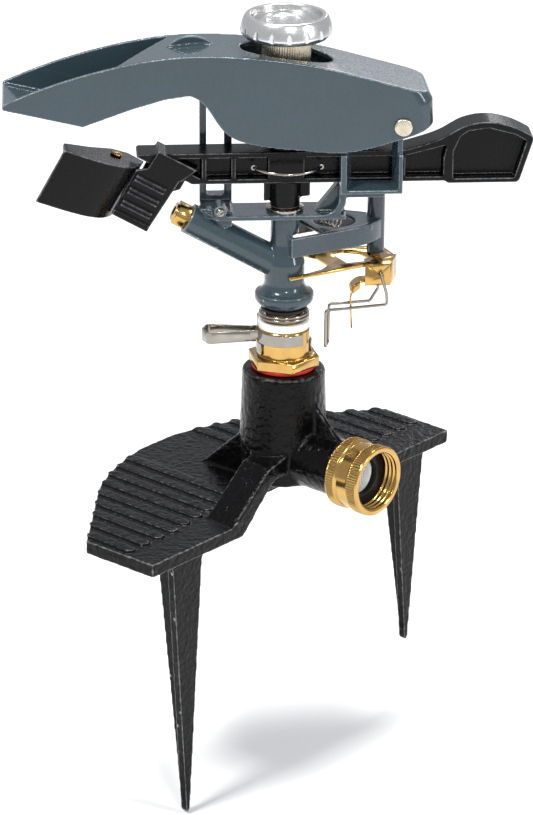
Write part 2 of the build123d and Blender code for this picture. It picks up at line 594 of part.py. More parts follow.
with BuildPart() as deflector_visor:
    with BuildSketch(Plane.XZ.offset(-VISOR_Y)):
        visor_profile()
    extrude(amount=2 * VISOR_Y)
    rear = deflector_visor.edges().filter_by(lambda e: e.center().X > 62 and abs(e.tangent_at(0.5).Y) < 0.5)
    fillet(rear, 7)
    add(visor_chamber.part, mode=Mode.SUBTRACT)
    add(visor_trough.part, mode=Mode.SUBTRACT)
    with BuildSketch(Plane.XY.offset(208)):
        Ellipse(20.5, 13)
    extrude(amount=30, mode=Mode.SUBTRACT)
    with BuildSketch(Plane.XZ.offset(-20)):
        with Locations((HINGE_X, HINGE_Z)):
            Circle(HINGE_R + FIT)
    extrude(amount=40, mode=Mode.SUBTRACT)
    # ledges that the thrust cup presses on
    with BuildSketch(Plane.XY.offset(LEDGE_Z)):
        with Locations((0, VISOR_Y - 3), (0, 3 - VISOR_Y)):
            Rectangle(6, 2.6)
    extrude(amount=2)
    # low fin on the cover
    with BuildSketch(Plane(origin=(-44, 1, 0), x_dir=(0.99, 0.14, 0), z_dir=(0.14, -0.99, 0)).offset(-0.9)):
        with BuildLine():
            fin = ThreePointArc((-10, 220.5), (-6, 224.6), (12, 222.2))
            Line(fin @ 1, fin @ 0)
        make_face()
    extrude(amount=1.8)
save(deflector_visor, "deflector_visor")

# ---- knob, stem and thrust cup ----------------------------------------------------------------
DISH_Z = KNOB_Z1 - 3.2  # floor of the knob's dish
with BuildPart() as adjusting_knob:
    with BuildSketch(Plane.XZ):
        with BuildLine():
            Polyline((0, KNOB_Z0), (18.4, KNOB_Z0), (20.5, KNOB_Z0 + 2.4))
            flank = ThreePointArc((20.5, KNOB_Z0 + 2.4), (19.9, KNOB_Z0 + 6), (18.5, KNOB_Z1 - 0.6))
            Polyline(flank @ 1, (17.8, KNOB_Z1), (15.8, KNOB_Z1), (15.2, DISH_Z), (12.2, DISH_Z),
                     (11.9, DISH_Z + 0.4), (8.7, DISH_Z + 0.4), (8.4, DISH_Z), (0, DISH_Z), (0, KNOB_Z0))
        make_face()
    revolve(axis=Axis.Z)
    with BuildSketch(Plane.XY.offset(KNOB_Z0)):
        with PolarLocations(21.3, 16):
            Circle(1.5)
    extrude(amount=KNOB_Z1 - KNOB_Z0 - 2, mode=Mode.SUBTRACT)
    with BuildSketch(Plane.XY.offset(KNOB_Z0)):
        Circle(8.02)
    extrude(amount=2, mode=Mode.SUBTRACT)
save(adjusting_knob, "adjusting_knob")

CUP_Z0, CUP_Z1 = LEDGE_Z + 2.4, LEDGE_Z + 4.6
with BuildPart() as knob_stem:
    with BuildSketch(Plane.XY.offset(CUP_Z1 + 0.3)):
        Circle(STEM_R)
    extrude(amount=KNOB_Z0 - CUP_Z1 - 0.3)
    with BuildSketch(Plane.XY.offset(KNOB_Z0)):
        Circle(8.0)
    extrude(amount=2)
    with BuildSketch(Plane.XY.offset(CUP_Z1)):
        Circle(POST_R + FIT)
    extrude(amount=KNOB_POST_TOP + 3 - CUP_Z1, mode=Mode.SUBTRACT)
save(knob_stem, "knob_stem")
ring("thrust_cup", 15.6, POST_R + FIT, CUP_Z0, CUP_Z1)

# ---- impact arm -------------------------------------------------------------------------------
WEIGHT_TOP = ((52.6, 175.2), (62.5, 178.0), (71.0, 181.4), (77.1, 185.0), (83.8, 187.2), (90.1, 187.7),
              (97.6, 186.4), (103.2, 184.4), (108.4, 181.6))
WEIGHT_LOW = ((110.0, 178.5), (104.4, 160.4), (103.0, 159.4), (72.3, 159.4), (70.8, ARM_Z0), (52.6, ARM_Z0))
BAR_LEFT = ((-41.8, ARM_Z0), (-66.6, 173.8), (-65.8, ARM_Z1))
POCKETS = (
    ((-55, 172.6), (-37.5, 162.7), (-37.5, 172.6)),
    ((-35.5, 162.7), (-24.4, 162.7), (-24.4, 172.6), (-35.5, 172.6)),
    ((-22.4, 162.7), (-8, 162.7), (-8, 172.6), (-22.4, 172.6)),
    ((8, 162.7), (50, 162.7), (50, 172.6), (8, 172.6)),
    ((53, 162.7), (70, 162.7), (70, 171), (71.4, 177.2), (62, 174.8), (53, 172.6)),
    ((74.6, 161.6), (102, 161.6), (107, 178.6), (102, 181.6), (90, 184.8), (81, 183.6), (77.4, 181),
     (74.4, 174)),
)
# frame of the jet: s runs along the jet, n square to it and down, y as in the row
JET = Vector(*BARREL_DIR)
DOWN = Vector(-sin(BARREL_TURN), 0, -cos(BARREL_TURN))
SCOOP_ROOT = Vector(-62.3, 5.0, 167.8)
RIM_TURN = radians(21)  # slope of the spoon's top edge
rim_face = Plane(origin=SCOOP_ROOT, x_dir=(-cos(RIM_TURN), 0, sin(RIM_TURN)),
                 z_dir=(-sin(RIM_TURN), 0, -cos(RIM_TURN)))     # x along the rim, y as in the row


def jet_side(y):
    """Upright plane at depth y with x along the jet and y down, from the scoop's root."""
    return Plane(origin=(SCOOP_ROOT.X, y, SCOOP_ROOT.Z), x_dir=JET, z_dir=JET.cross(DOWN))


PADDLE_END = 4.0        # the paddle's edge, just behind the spoon
PADDLE = ((-15.8, -6), (-0.4, -6), (-0.4, -1), (PADDLE_END, 1.6), (PADDLE_END, 25), (-14, 25))
PADDLE_BACK, PADDLE_FRONT = -6.6, -8.2
with BuildPart() as impact_arm:
    with BuildSketch(Plane.XZ.offset(-ARM_Y)):
        with BuildLine():
            arch = Spline(*WEIGHT_TOP)
            ThreePointArc(arch @ 1, (109.9, 180.4), WEIGHT_LOW[0])
            Polyline(*WEIGHT_LOW, *BAR_LEFT, arch @ 0)
        make_face()
    extrude(amount=2 * ARM_Y)
    for y0 in (-ARM_Y, WEB):
        with BuildSketch(Plane.XZ.offset(y0)):
            for pocket in POCKETS:
                outline(*pocket)
        extrude(amount=ARM_Y - WEB, mode=Mode.SUBTRACT)
    with BuildSketch(Plane.XY.offset(HUB_Z0)):
        Circle(HUB_R)
    extrude(amount=HUB_Z1 - HUB_Z0)
    with BuildSketch(Plane.XZ.offset(-1.1)):
        outline((-9.6, 150.2), (11.2, 152.4), (11.2, 163), (-9.6, 163))
    extrude(amount=2.2)
    # bracket from the bar down to the ribbed paddle, behind the jet
    with BuildSketch(jet_side(5.4)):
        outline((-20, -9), (-0.4, -9), (-0.4, 20), (-6, 20), (-14, 10), (-20, 4))
    extrude(amount=1.9)
    with BuildSketch(jet_side(PADDLE_BACK)):
        outline(*PADDLE)
    extrude(amount=PADDLE_BACK - PADDLE_FRONT)
    with BuildSketch(jet_side(PADDLE_BACK - 0.8)):
        for n in (3.5, 10, 16.5):
            outline((-12, n), (2.5, n), (2.5, n + 1), (-12, n + 1))
            outline((-12, n + 2), (2.5, n + 2), (2.5, n + 3), (-12, n + 3))
        outline((-14, 22.4), (PADDLE_END, 22.4), (PADDLE_END, 25), (-14, 25))
    extrude(amount=1.5)
    with BuildSketch(jet_side(ARM_Y)):
        outline((-20, -10.5), (-0.6, -10.5), (-0.6, -2.5), (-16.4, -2.5))
    extrude(amount=ARM_Y - PADDLE_FRONT)
    with BuildSketch(Plane.XY.offset(HUB_Z0)):
        Circle(BUSH_R + 0.02)
    extrude(amount=HUB_Z1 - HUB_Z0, mode=Mode.SUBTRACT)
save(impact_arm, "impact_arm")

for name, z in (("lower_bushing", HUB_Z0), ("upper_bushing", HUB_Z1 - 8)):
    ring(name, BUSH_R, PIN_R + FIT, z, z + 8)

# drive spoon: a wall curved in plan along the jet, capped above
VANE = ((1.2, 5.0), (4.4, -5.0), (8.2, -10.8), (13.1, -14.4), (20.7, -17.0), (29.4, -18.4), (38.5, -19.0))
SCOOP_DEPTH, SCOOP_WALL = 27.0, 1.6
vane_points = [(s, y - SCOOP_ROOT.Y) for s, y in VANE]
with BuildPart() as drive_spoon:
    with BuildSketch(rim_face):
        with BuildLine() as vane_line:
            Spline(*vane_points)
        trace(line_width=SCOOP_WALL)
    extrude(amount=SCOOP_DEPTH, dir=DOWN)
    with BuildSketch(rim_face):
        with BuildLine():
            rim = Spline(*vane_points)
            Polyline(rim @ 1, (38.5, -14), (27, -7), (16, 2), (8, 4), rim @ 0)
        make_face()
    extrude(amount=SCOOP_WALL, dir=DOWN)
save(drive_spoon, "drive_spoon")

with BuildPart() as spoon_rivet:
    with BuildSketch(rim_face.offset(-1.4)):
        with Locations((14, -6)):
            Circle(2.6)
    extrude(amount=1.4)
save(spoon_rivet, "spoon_rivet")

with BuildPart() as arm_spring:
    coil(14.0, 0.7, 176.4, 193.6, 2.15)
save(arm_spring, "arm_spring")

with BuildPart() as spring_hook:
    hook_r, hook_z, hook_y = 16.6, 167.7, -ARM_Y - 0.9
    with BuildLine() as hook_path:
        ThreePointArc((-14.6, hook_y, hook_z + 0.8), (0.4, -hook_r, hook_z), (15.4, hook_y, hook_z + 0.8))
    with BuildSketch(Plane(origin=hook_path.line @ 0, z_dir=hook_path.line % 0)) as hook_section:
        Circle(0.7)
    sweep(hook_section.sketch, path=hook_path.line)
    for x in (-14.6, 15.4):
        with BuildSketch(Plane.XZ.offset(-hook_y + 0.4)):
            with Locations((x, hook_z + 0.8)):
                Circle(1.2)
        extrude(amount=-1.3)
save(spring_hook, "spring_hook")

# ---- trip plate, leaf spring and trip wire ----------------------------------------------------
BRACKET_Y, BRACKET_Z = 5.2, 107.2       # rear face and lower edge of the front cheek
with BuildPart() as trip_plate:
    with BuildSketch(level(TRIP_TURN, TRIP_Z)):
        outline((-3.5, -11.9), (20, -11.9), (42, -11.2), (46, -8), (54, -5.5), (55, 8), (50, 10), (38, 12),
                (30, 16), (18, 17.2), (-3, 16.4), (-3, 14.2), (17, 13.6), (20.6, 8), (20.6, -4), (15, -8),
                (5, -9.7), (-3.5, -9.7))
        with BuildSketch(mode=Mode.SUBTRACT):
            outline((29, -6), (38, -7.8), (41.5, -4), (41.5, 4), (36, 9), (29, 10))
    extrude(amount=TRIP_T)
    with BuildSketch(Plane.XY.offset(BRACKET_Z)):
        outline((37, BRACKET_Y - 1.2), (48.4, BRACKET_Y - 1.2), (52.6, 17.5), (51.4, 17.9), (47.6, BRACKET_Y),
                (37, BRACKET_Y))
    extrude(amount=TRIP_Z + TRIP_T - BRACKET_Z)
    with BuildSketch(Plane.XY.offset(TRIP_Z)):
        outline((37, BRACKET_Y - 1.2), (48.4, BRACKET_Y - 1.2), (52.6, 17.5), (46, 19), (37, 12))
    extrude(amount=TRIP_T)
    with BuildSketch(Plane.XY.offset(TRIP_Z - 1)):
        with Locations(PIVOT):
            Circle(TRIP_PIN_R + FIT)
    extrude(amount=4, mode=Mode.SUBTRACT)
    with BuildSketch(Plane.XZ.offset(-BRACKET_Y - 1)):
        with Locations((WIRE_X, WIRE_Z)):
            Circle(WIRE_R + FIT)
    extrude(amount=3, mode=Mode.SUBTRACT)
save(trip_plate, "trip_plate")

with BuildPart() as leaf_spring:
    with BuildSketch(Plane.XZ.offset(-BRACKET_Y)):
        with BuildLine() as leaf_line:
            leaf_top = Line((41.8, 108.2), (36.5, 108.6))
            bend = ThreePointArc(leaf_top @ 1, (31.8, 106.4), (30.2, 101.5))
            Line(bend @ 1, (30.9, 87.5))
        trace(line_width=0.8)
    extrude(amount=-7.4)
    with BuildSketch(Plane.XZ.offset(-BRACKET_Y)):
        outline((27, 80), (34, 80), (34, 103.4), (27, 105.4))
    extrude(amount=-9, mode=Mode.SUBTRACT)
    with BuildSketch(Plane.XZ.offset(-1.9)):
        with BuildLine() as tongue_line:
            bend = ThreePointArc((33.2, 107.2), (31.2, 105), (30.3, 101.5))
            Line(bend @ 1, (31.0, 87.5))
        trace(line_width=0.8)
    extrude(amount=-2.4)
    with BuildSketch(Plane.XZ.offset(-1.9)):
        outline((31.4, 104.2), (34.6, 106.6), (34.6, 108.9), (30.6, 107.6))
    extrude(amount=-4.4)
    with BuildSketch(Plane.XY.offset(108)):
        outline((37.4, BRACKET_Y), (41.6, BRACKET_Y), (41.6, BRACKET_Y + 0.8), (37.4, BRACKET_Y + 0.8))
    extrude(amount=6.5)
save(leaf_spring, "leaf_spring")

WIRE_NEAR, WIRE_FAR = 3.0, 7.6          # depths of the two legs beside the cheek
WIRE_PATH = (
    (WIRE_X, WIRE_FAR, WIRE_Z), (WIRE_X, WIRE_NEAR, WIRE_Z), (46.8, WIRE_NEAR, 103.6),
    (47.2, WIRE_NEAR, 98.3), (18.9, -1.0, 97.4), (18.8, -1.0, 79.8), (20.6, 5.4, 79.8), (20.9, 5.6, 98.0),
    (39.6, 7.4, 98.6), (43.2, 7.6, 104.5), (44.0, 7.7, 111.6),
)
with BuildPart() as trip_wire:
    with BuildLine() as wire_line:
        FilletPolyline(*WIRE_PATH, radius=1.3)
    with BuildSketch(Plane(origin=wire_line.line @ 0, z_dir=wire_line.line % 0)) as wire_section:
        Circle(WIRE_R)
    sweep(wire_section.sketch, path=wire_line.line, transition=Transition.ROUND)
save(trip_wire, "trip_wire")
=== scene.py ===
import json
import math
from math import cos, pi, radians, sin

import bmesh
import bpy
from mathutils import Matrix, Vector, noise


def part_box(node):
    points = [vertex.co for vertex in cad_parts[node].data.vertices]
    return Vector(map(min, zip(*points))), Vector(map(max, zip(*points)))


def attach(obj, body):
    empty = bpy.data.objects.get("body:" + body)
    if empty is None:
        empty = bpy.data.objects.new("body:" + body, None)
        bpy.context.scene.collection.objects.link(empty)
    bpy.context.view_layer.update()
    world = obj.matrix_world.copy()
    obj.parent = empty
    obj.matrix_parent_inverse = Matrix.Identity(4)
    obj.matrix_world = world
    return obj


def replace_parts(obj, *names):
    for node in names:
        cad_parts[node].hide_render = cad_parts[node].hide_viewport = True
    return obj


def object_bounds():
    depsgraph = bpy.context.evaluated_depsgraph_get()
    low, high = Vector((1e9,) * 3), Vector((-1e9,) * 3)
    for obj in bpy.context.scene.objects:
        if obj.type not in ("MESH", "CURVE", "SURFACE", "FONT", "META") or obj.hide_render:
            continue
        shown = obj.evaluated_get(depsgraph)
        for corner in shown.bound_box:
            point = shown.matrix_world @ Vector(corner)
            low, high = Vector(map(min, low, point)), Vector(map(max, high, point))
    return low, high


# Impact sprinkler on a cast step base. Metres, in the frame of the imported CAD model.

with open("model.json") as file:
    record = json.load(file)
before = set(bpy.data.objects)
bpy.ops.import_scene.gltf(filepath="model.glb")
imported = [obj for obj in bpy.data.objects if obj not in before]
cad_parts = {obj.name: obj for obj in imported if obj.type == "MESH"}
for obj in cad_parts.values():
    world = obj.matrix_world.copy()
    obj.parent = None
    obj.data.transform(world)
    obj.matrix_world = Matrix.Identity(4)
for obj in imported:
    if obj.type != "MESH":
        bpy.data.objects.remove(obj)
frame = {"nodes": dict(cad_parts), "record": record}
cad_low, cad_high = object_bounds()
MM = 0.001
scene = bpy.context.scene


# ---- materials ----------------------------------------------------------------------------------
def node(tree, kind, **inputs):
    """A shader node with the given inputs: numbers are set, sockets are linked."""
    made = tree.nodes.new(kind)
    for name, value in inputs.items():
        socket = made.inputs[name.replace("_", " ")]
        if isinstance(value, bpy.types.NodeSocket):
            tree.links.new(value, socket)
        else:
            socket.default_value = value
    return made


def speckle(tree, place, size_mm, detail=3.0, stretch=(1, 1, 1), rough=0.55):
    """Noise output with features of about size_mm on the piece."""
    if stretch != (1, 1, 1):
        place = node(tree, "ShaderNodeMapping", Vector=place, Scale=stretch).outputs[0]
    made = node(tree, "ShaderNodeTexNoise", Vector=place, Scale=1000.0 / size_mm, Detail=detail,
                Roughness=rough)
    return made.outputs["Fac"]


def ranged(tree, value, low, high, to_low, to_high):
    """The value mapped from low..high to to_low..to_high."""
    made = node(tree, "ShaderNodeMapRange", Value=value)
    for index, number in ((1, low), (2, high), (3, to_low), (4, to_high)):
        made.inputs[index].default_value = number
    return made.outputs[0]


def mixed(tree, factor, first, second):
    """Colour between first and second, each a socket or an RGB tuple."""
    made = tree.nodes.new("ShaderNodeMix")
    made.data_type = "RGBA"
    tree.links.new(factor, made.inputs[0])
    for index, value in ((6, first), (7, second)):
        if isinstance(value, bpy.types.NodeSocket):
            tree.links.new(value, made.inputs[index])
        else:
            made.inputs[index].default_value = (*value, 1.0)
    return made.outputs[2]


def surface(name, color, rough, metallic=0.0, coat=0.0, coat_rough=0.08, mottle=(14.0, 0.12),
            grain=(0.9, 0.02), rough_span=0.08, edge_highlight_and_wear=None, dust=None, stretch=(1, 1, 1),
            subsurface=0.0, specular=0.5):
    """Procedural finish. mottle is (size mm, depth of the tint), grain is (size mm, height mm),
    rough_span is how far the grain moves the roughness either way, stretch scales the grain's
    pattern, edge_highlight_and_wear is (colour, amount) on sharp corners, a painted highlight that
    also stands for wear, dust is (colour, amount) in broad patches."""
    made = bpy.data.materials.new(name)
    made.use_nodes = True
    tree = made.node_tree
    shader = tree.nodes["Principled BSDF"]
    place = tree.nodes.new("ShaderNodeTexCoord").outputs["Object"]
    broad = speckle(tree, place, mottle[0], 4.0)
    dark = tuple(c * (1 - mottle[1]) for c in color)
    light = tuple(min(1.0, c * (1 + mottle[1])) for c in color)
    tint = mixed(tree, ranged(tree, broad, 0.3, 0.7, 0.0, 1.0), dark, light)
    if dust:
        patch = ranged(tree, speckle(tree, place, mottle[0] * 2.3, 6.0), 0.5, 0.8, 0.0, dust[1])
        tint = mixed(tree, patch, tint, dust[0])
    # Pale colour on sharp corners found by pointiness: a painted highlight along the edges, also standing
    # for wear.
    if edge_highlight_and_wear:
        point = tree.nodes.new("ShaderNodeNewGeometry").outputs["Pointiness"]
        edge_highlight_and_wear_mask = ranged(tree, point, 0.515, 0.56, 0.0, edge_highlight_and_wear[1])
        broken = ranged(tree, speckle(tree, place, 2.5, 5.0), 0.35, 0.6, 0.3, 1.0)
        product = node(tree, "ShaderNodeMath")
        product.operation = "MULTIPLY"
        tree.links.new(edge_highlight_and_wear_mask, product.inputs[0])
        tree.links.new(broken, product.inputs[1])
        tint = mixed(tree, product.outputs[0], tint, edge_highlight_and_wear[0])
    tree.links.new(tint, shader.inputs["Base Color"])
    fine = speckle(tree, place, grain[0], 3.0, stretch)
    spread = ranged(tree, fine, 0.3, 0.7, max(0.02, rough - rough_span), rough + rough_span)
    tree.links.new(spread, shader.inputs["Roughness"])
    bump = node(tree, "ShaderNodeBump", Height=fine, Distance=grain[1] * MM, Strength=1.0)
    tree.links.new(bump.outputs[0], shader.inputs["Normal"])
    shader.inputs["Metallic"].default_value = metallic
    shader.inputs["Coat Weight"].default_value = coat
    shader.inputs["Coat Roughness"].default_value = coat_rough
    shader.inputs["Subsurface Weight"].default_value = subsurface
    shader.inputs["Subsurface Scale"].default_value = 0.002
    shader.inputs["Specular IOR Level"].default_value = specular
    return made


# The pale edge colours below are painted highlights along sharp corners, also standing for wear.
slate = surface("slate_paint", (0.030, 0.050, 0.061), 0.26, coat=0.7, coat_rough=0.06,
                mottle=(30, 0.08), grain=(1.6, 0.010), edge_highlight_and_wear=((0.42, 0.48, 0.50), 0.55), specular=0.2)
black = surface("black_paint", (0.0022, 0.0022, 0.0025), 0.24, mottle=(20, 0.25),
                grain=(1.2, 0.02), edge_highlight_and_wear=((0.40, 0.40, 0.41), 0.6), specular=0.17)
enamel = surface("black_enamel", (0.0020, 0.0020, 0.0022), 0.15, mottle=(16, 0.3),
                 grain=(1.7, 0.34), rough_span=0.05, edge_highlight_and_wear=((0.55, 0.55, 0.55), 0.55), specular=0.14)
brass = surface("brass", (0.56, 0.35, 0.11), 0.16, metallic=1.0, mottle=(9, 0.12),
                grain=(0.5, 0.006), stretch=(1, 1, 6), dust=((0.45, 0.26, 0.09), 0.4))
steel = surface("spring_steel", (0.32, 0.30, 0.26), 0.18, metallic=1.0, mottle=(8, 0.14),
                grain=(0.35, 0.005), stretch=(1, 1, 5), dust=((0.24, 0.23, 0.21), 0.45))
chrome = surface("satin_chrome", (0.70, 0.70, 0.69), 0.24, metallic=1.0, mottle=(12, 0.06),
                 grain=(0.5, 0.005), rough_span=0.05)
nickel = surface("nickel", (0.60, 0.54, 0.42), 0.28, metallic=1.0, mottle=(6, 0.14),
                 grain=(0.4, 0.008))
nylon = surface("white_nylon", (0.80, 0.79, 0.75), 0.42, mottle=(8, 0.05), grain=(0.8, 0.01),
                subsurface=0.15)
fibre = surface("red_fibre", (0.50, 0.012, 0.010), 0.45, mottle=(3, 0.25), grain=(0.5, 0.03))
rubber = surface("black_rubber", (0.010, 0.010, 0.010), 0.55, mottle=(6, 0.2), grain=(0.4, 0.02),
                 specular=0.3)
gauze = surface("screen_gauze", (0.80, 0.80, 0.78), 0.35, metallic=0.3, mottle=(5, 0.1),
                grain=(0.4, 0.005))
FINISH = {
    "visor_paint": slate, "black_paint": black, "black_enamel": enamel, "brass": brass, "steel": steel,
    "chrome": chrome, "nickel": nickel, "nylon": nylon, "red_gasket": fibre, "black_rubber": rubber,
}
slot_of = {row["node"]: row["material_slot"] for row in frame["record"]["subparts"]}
body_of = {n: body for body, nodes in frame["record"]["behaviour"]["bodies"].items() for n in nodes}


# ---- mesh helpers --------------------------------------------------------------------------------
def new_object(name, data):
    """The mesh, light or camera as an object of the scene."""
    made = bpy.data.objects.new(name, data)
    scene.collection.objects.link(made)
    return made


def dress(piece, cad_node, finish=None):
    """Finish a new piece: smooth faces, its material, its body and the CAD node it stands for."""
    mesh = piece.data
    mesh.materials.clear()
    mesh.materials.append(finish or FINISH[slot_of[cad_node]])
    mesh.polygons.foreach_set("use_smooth", [True] * len(mesh.polygons))
    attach(piece, body_of[cad_node])
    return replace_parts(piece, cad_node)


def cad_copy(name, cad_node):
    """New object with a CAD node's mesh, welded along the edges of its faces."""
    mesh = bpy.data.meshes.new(name)
    work = bmesh.new()
    work.from_mesh(frame["nodes"][cad_node].data)
    bmesh.ops.remove_doubles(work, verts=work.verts, dist=2e-6)
    bmesh.ops.dissolve_limit(work, angle_limit=radians(0.4), verts=work.verts, edges=work.edges)
    work.to_mesh(mesh)
    work.free()
    return new_object(name, mesh)


def apply_modifiers(piece):
    """Give the piece the mesh that its modifiers make, and drop them."""
    shown = piece.evaluated_get(bpy.context.evaluated_depsgraph_get())
    mesh = bpy.data.meshes.new_from_object(shown)
    piece.modifiers.clear()
    piece.data = mesh


def cast(cad_node, voxel, rounds, lumps=None, soften=None):
    """Piece with the rounded edges of a casting: the CAD solid remeshed and smoothed.
    lumps is (size mm, height mm) of a hammered surface. soften is (height mm, rounds) of
    more smoothing above that height."""
    piece = cad_copy(cad_node + "_cast", cad_node)
    skin = piece.modifiers.new("skin", "REMESH")
    skin.mode = "VOXEL"
    skin.voxel_size = voxel * MM
    smooth = piece.modifiers.new("smooth", "SMOOTH")
    smooth.factor = 0.5
    smooth.iterations = rounds
    apply_modifiers(piece)
    if soften:
        level, more = soften
        group = piece.vertex_groups.new(name="soft")
        group.add([v.index for v in piece.data.vertices if v.co.z > level * MM], 1.0, "REPLACE")
        smooth = piece.modifiers.new("soften", "SMOOTH")
        smooth.factor = 0.5
        smooth.iterations = more
        smooth.vertex_group = "soft"
        apply_modifiers(piece)
    if lumps:
        size, height = lumps
        points = [(v.co.copy(), v.normal.copy()) for v in piece.data.vertices]
        flat = []
        for co, normal in points:
            depth = height * MM * (0.5 + 0.5 * noise.noise(co * (1000.0 / size)))
            flat.extend(co - normal * depth)
        piece.data.vertices.foreach_set("co", flat)
    return dress(piece, cad_node)


def machined(cad_node, width, angle=32):
    """Piece with small bevels on the sharp edges of its CAD node."""
    piece = cad_copy(cad_node + "_part", cad_node)
    bevel = piece.modifiers.new("edges", "BEVEL")
    bevel.limit_method = "ANGLE"
    bevel.angle_limit = radians(angle)
    bevel.width = width * MM
    bevel.segments = 2
    piece.modifiers.new("normals", "WEIGHTED_NORMAL")
    apply_modifiers(piece)
    return dress(piece, cad_node)


def lathe(name, profile, segments, origin, axis, across, shape=None):
    """Closed ring turned from (along, radius) points in millimetres about an axis.
    shape(along, radius, turn) may change a radius, for knurls and threads."""
    axis, across = Vector(axis).normalized(), Vector(across).normalized()
    up = axis.cross(across)
    work = bmesh.new()
    rows = []
    for along, radius in profile:
        row = []
        for step in range(segments):
            turn = 2 * pi * step / segments
            r = shape(along, radius, turn) if shape else radius
            outward = across * cos(turn) + up * sin(turn)
            row.append(work.verts.new(Vector(origin) + (axis * along + outward * r) * MM))
        rows.append(row)
    for one, two in zip(rows, rows[1:] + rows[:1]):
        for step in range(segments):
            after = (step + 1) % segments
            work.faces.new((one[step], one[after], two[after], two[step]))
    bmesh.ops.recalc_face_normals(work, faces=work.faces)
    mesh = bpy.data.meshes.new(name)
    work.to_mesh(mesh)
    work.free()
    return new_object(name, mesh)


def subdivided(points, step):
    """The same closed profile with points no further apart than step."""
    out = []
    for (a0, r0), (a1, r1) in zip(points, points[1:] + points[:1]):
        count = max(1, math.ceil(math.hypot(a1 - a0, r1 - r0) / step))
        out += [(a0 + (a1 - a0) * k / count, r0 + (r1 - r0) * k / count) for k in range(count)]
    return out


def tubes(name, paths, radius, sides=6):
    """Round wires along lists of points, in one mesh."""
    work = bmesh.new()
    turns = [2 * pi * s / sides for s in range(sides)]
    for points in paths:
        rows = []
        for k, p in enumerate(points):
            along = (points[min(k + 1, len(points) - 1)] - points[max(k - 1, 0)]).normalized()
            one = along.orthogonal() if k == 0 else one - along * one.dot(along)
            one = one.normalized()
            two = along.cross(one)
            rows.append([work.verts.new(p + (one * cos(t) + two * sin(t)) * radius) for t in turns])
        for a, b in zip(rows, rows[1:]):
            for s in range(sides):
                work.faces.new((a[s], a[(s + 1) % sides], b[(s + 1) % sides], b[s]))
        work.faces.new(rows[0][::-1])
        work.faces.new(rows[-1])
    mesh = bpy.data.meshes.new(name)
    work.to_mesh(mesh)
    work.free()
    return new_object(name, mesh)


# ---- castings ------------------------------------------------------------------------------------
cast("step_base", 0.55, 5, lumps=(2.6, 0.42), soften=(12.4, 26))
for spike in ("left_spike", "right_spike"):
    cast(spike, 0.5, 5, lumps=(2.6, 0.25))
cast("deflector_visor", 0.5, 4)
cast("sprinkler_body", 0.42, 4)
cast("impact_arm", 0.42, 4)
cast("drive_spoon", 0.4, 3)
cast("adjusting_knob", 0.3, 4)
cast("base_gasket", 0.3, 3)

# ---- turned and stamped parts --------------------------------------------------------------------
BEVELS = {      # width in mm
    "bearing_nipple": 0.35, "nozzle": 0.3, "body_screw": 0.12, "hub_washer": 0.2, "visor_pin": 0.15,
    "trip_pivot_pin": 0.2, "trip_plate": 0.22, "leaf_spring": 0.1, "upper_collar": 0.16,
    "lower_collar": 0.16, "nylon_washer": 0.35, "thrust_cup": 0.3, "hose_washer": 0.4,
    "riser_tube": 0.3, "lower_bushing": 0.2, "upper_bushing": 0.2, "fulcrum_pin": 0.3,
    "spoon_rivet": 0.5, "dust_seal": 0.2,
}
for part, width in BEVELS.items():
    machined(part, width)

# ---- hose swivel ---------------------------------------------------------------------------------
swivel_low, swivel_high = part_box("swivel_nut")
inlet_z = (swivel_low.z + swivel_high.z) / 2
inlet_origin = (0, 0, inlet_z)
inlet_axis = Vector((1, -1, 0)).normalized()
inlet_across = Vector((1, 1, 0)).normalized()
KNURLS, KNURL_DEPTH, THREAD_PITCH, THREAD_DEPTH = 84, 0.38, 2.2, 0.8
NUT_BACK, NUT_FRONT = 38.4, 57.1        # distances from the spin axis, along the inlet
NUT_WALL, POCKET_END = 44.2, 49.0       # rear wall of the washer's pocket, and where the thread starts
NUT_R, WAIST_R, POCKET_R, THREAD_R, TURN_R = 16.25, 15.2, 14.0, 13.5, 10.65
BAND_END, BAND_START = 43.2, 51.6       # the knurled bands behind and in front of the waist
STEP, LIP = 0.5, 0.4
PROFILE_STEP = 0.22
NUT = [
    (NUT_BACK, TURN_R), (NUT_BACK, NUT_R - 0.55), (NUT_BACK + STEP, NUT_R - 0.15), (NUT_BACK + 1.0, NUT_R),
    (BAND_END, NUT_R), (BAND_END + LIP, NUT_R - 0.15), (BAND_END + 0.9, WAIST_R + 0.3),
    (BAND_END + 1.5, WAIST_R), (BAND_START - 1.5, WAIST_R), (BAND_START - 0.9, WAIST_R + 0.3),
    (BAND_START - LIP, NUT_R - 0.15), (BAND_START, NUT_R), (NUT_FRONT - 1.1, NUT_R),
    (NUT_FRONT - STEP, NUT_R - 0.15), (NUT_FRONT, NUT_R - 0.55), (NUT_FRONT, POCKET_R),
    (NUT_FRONT - LIP, THREAD_R), (POCKET_END, THREAD_R), (POCKET_END, POCKET_R), (NUT_WALL, POCKET_R),
    (NUT_WALL, TURN_R),
]


def nut_shape(along, radius, turn):
    """Knurls on the bands, and the thread's helix in the mouth."""
    if radius > NUT_R - 0.05:
        return radius - KNURL_DEPTH * (0.5 - 0.5 * cos(KNURLS * turn))
    if abs(radius - THREAD_R) < 0.1 and POCKET_END + 0.3 < along < NUT_FRONT - STEP:
        phase = (along - THREAD_PITCH * turn / (2 * pi)) / THREAD_PITCH
        return radius - THREAD_DEPTH * max(0.0, cos(2 * pi * phase)) ** 1.4
    return radius


nut = lathe("hose_swivel", subdivided(NUT, PROFILE_STEP), KNURLS * 5, inlet_origin, inlet_axis,
            inlet_across, nut_shape)
dress(nut, "swivel_nut")

# ---- woven dome of the filter screen --------------------------------------------------------------
DOME_TIP, DOME_R, SCREEN_R = 48.75, 13.04, 8.1
MESH_STEP, MESH_WIRE = 1.05, 0.19
RIM_ALONG, RIM_R, RIM_SIDES = 46.0, 8.15, 64
inlet_up = inlet_axis.cross(inlet_across)


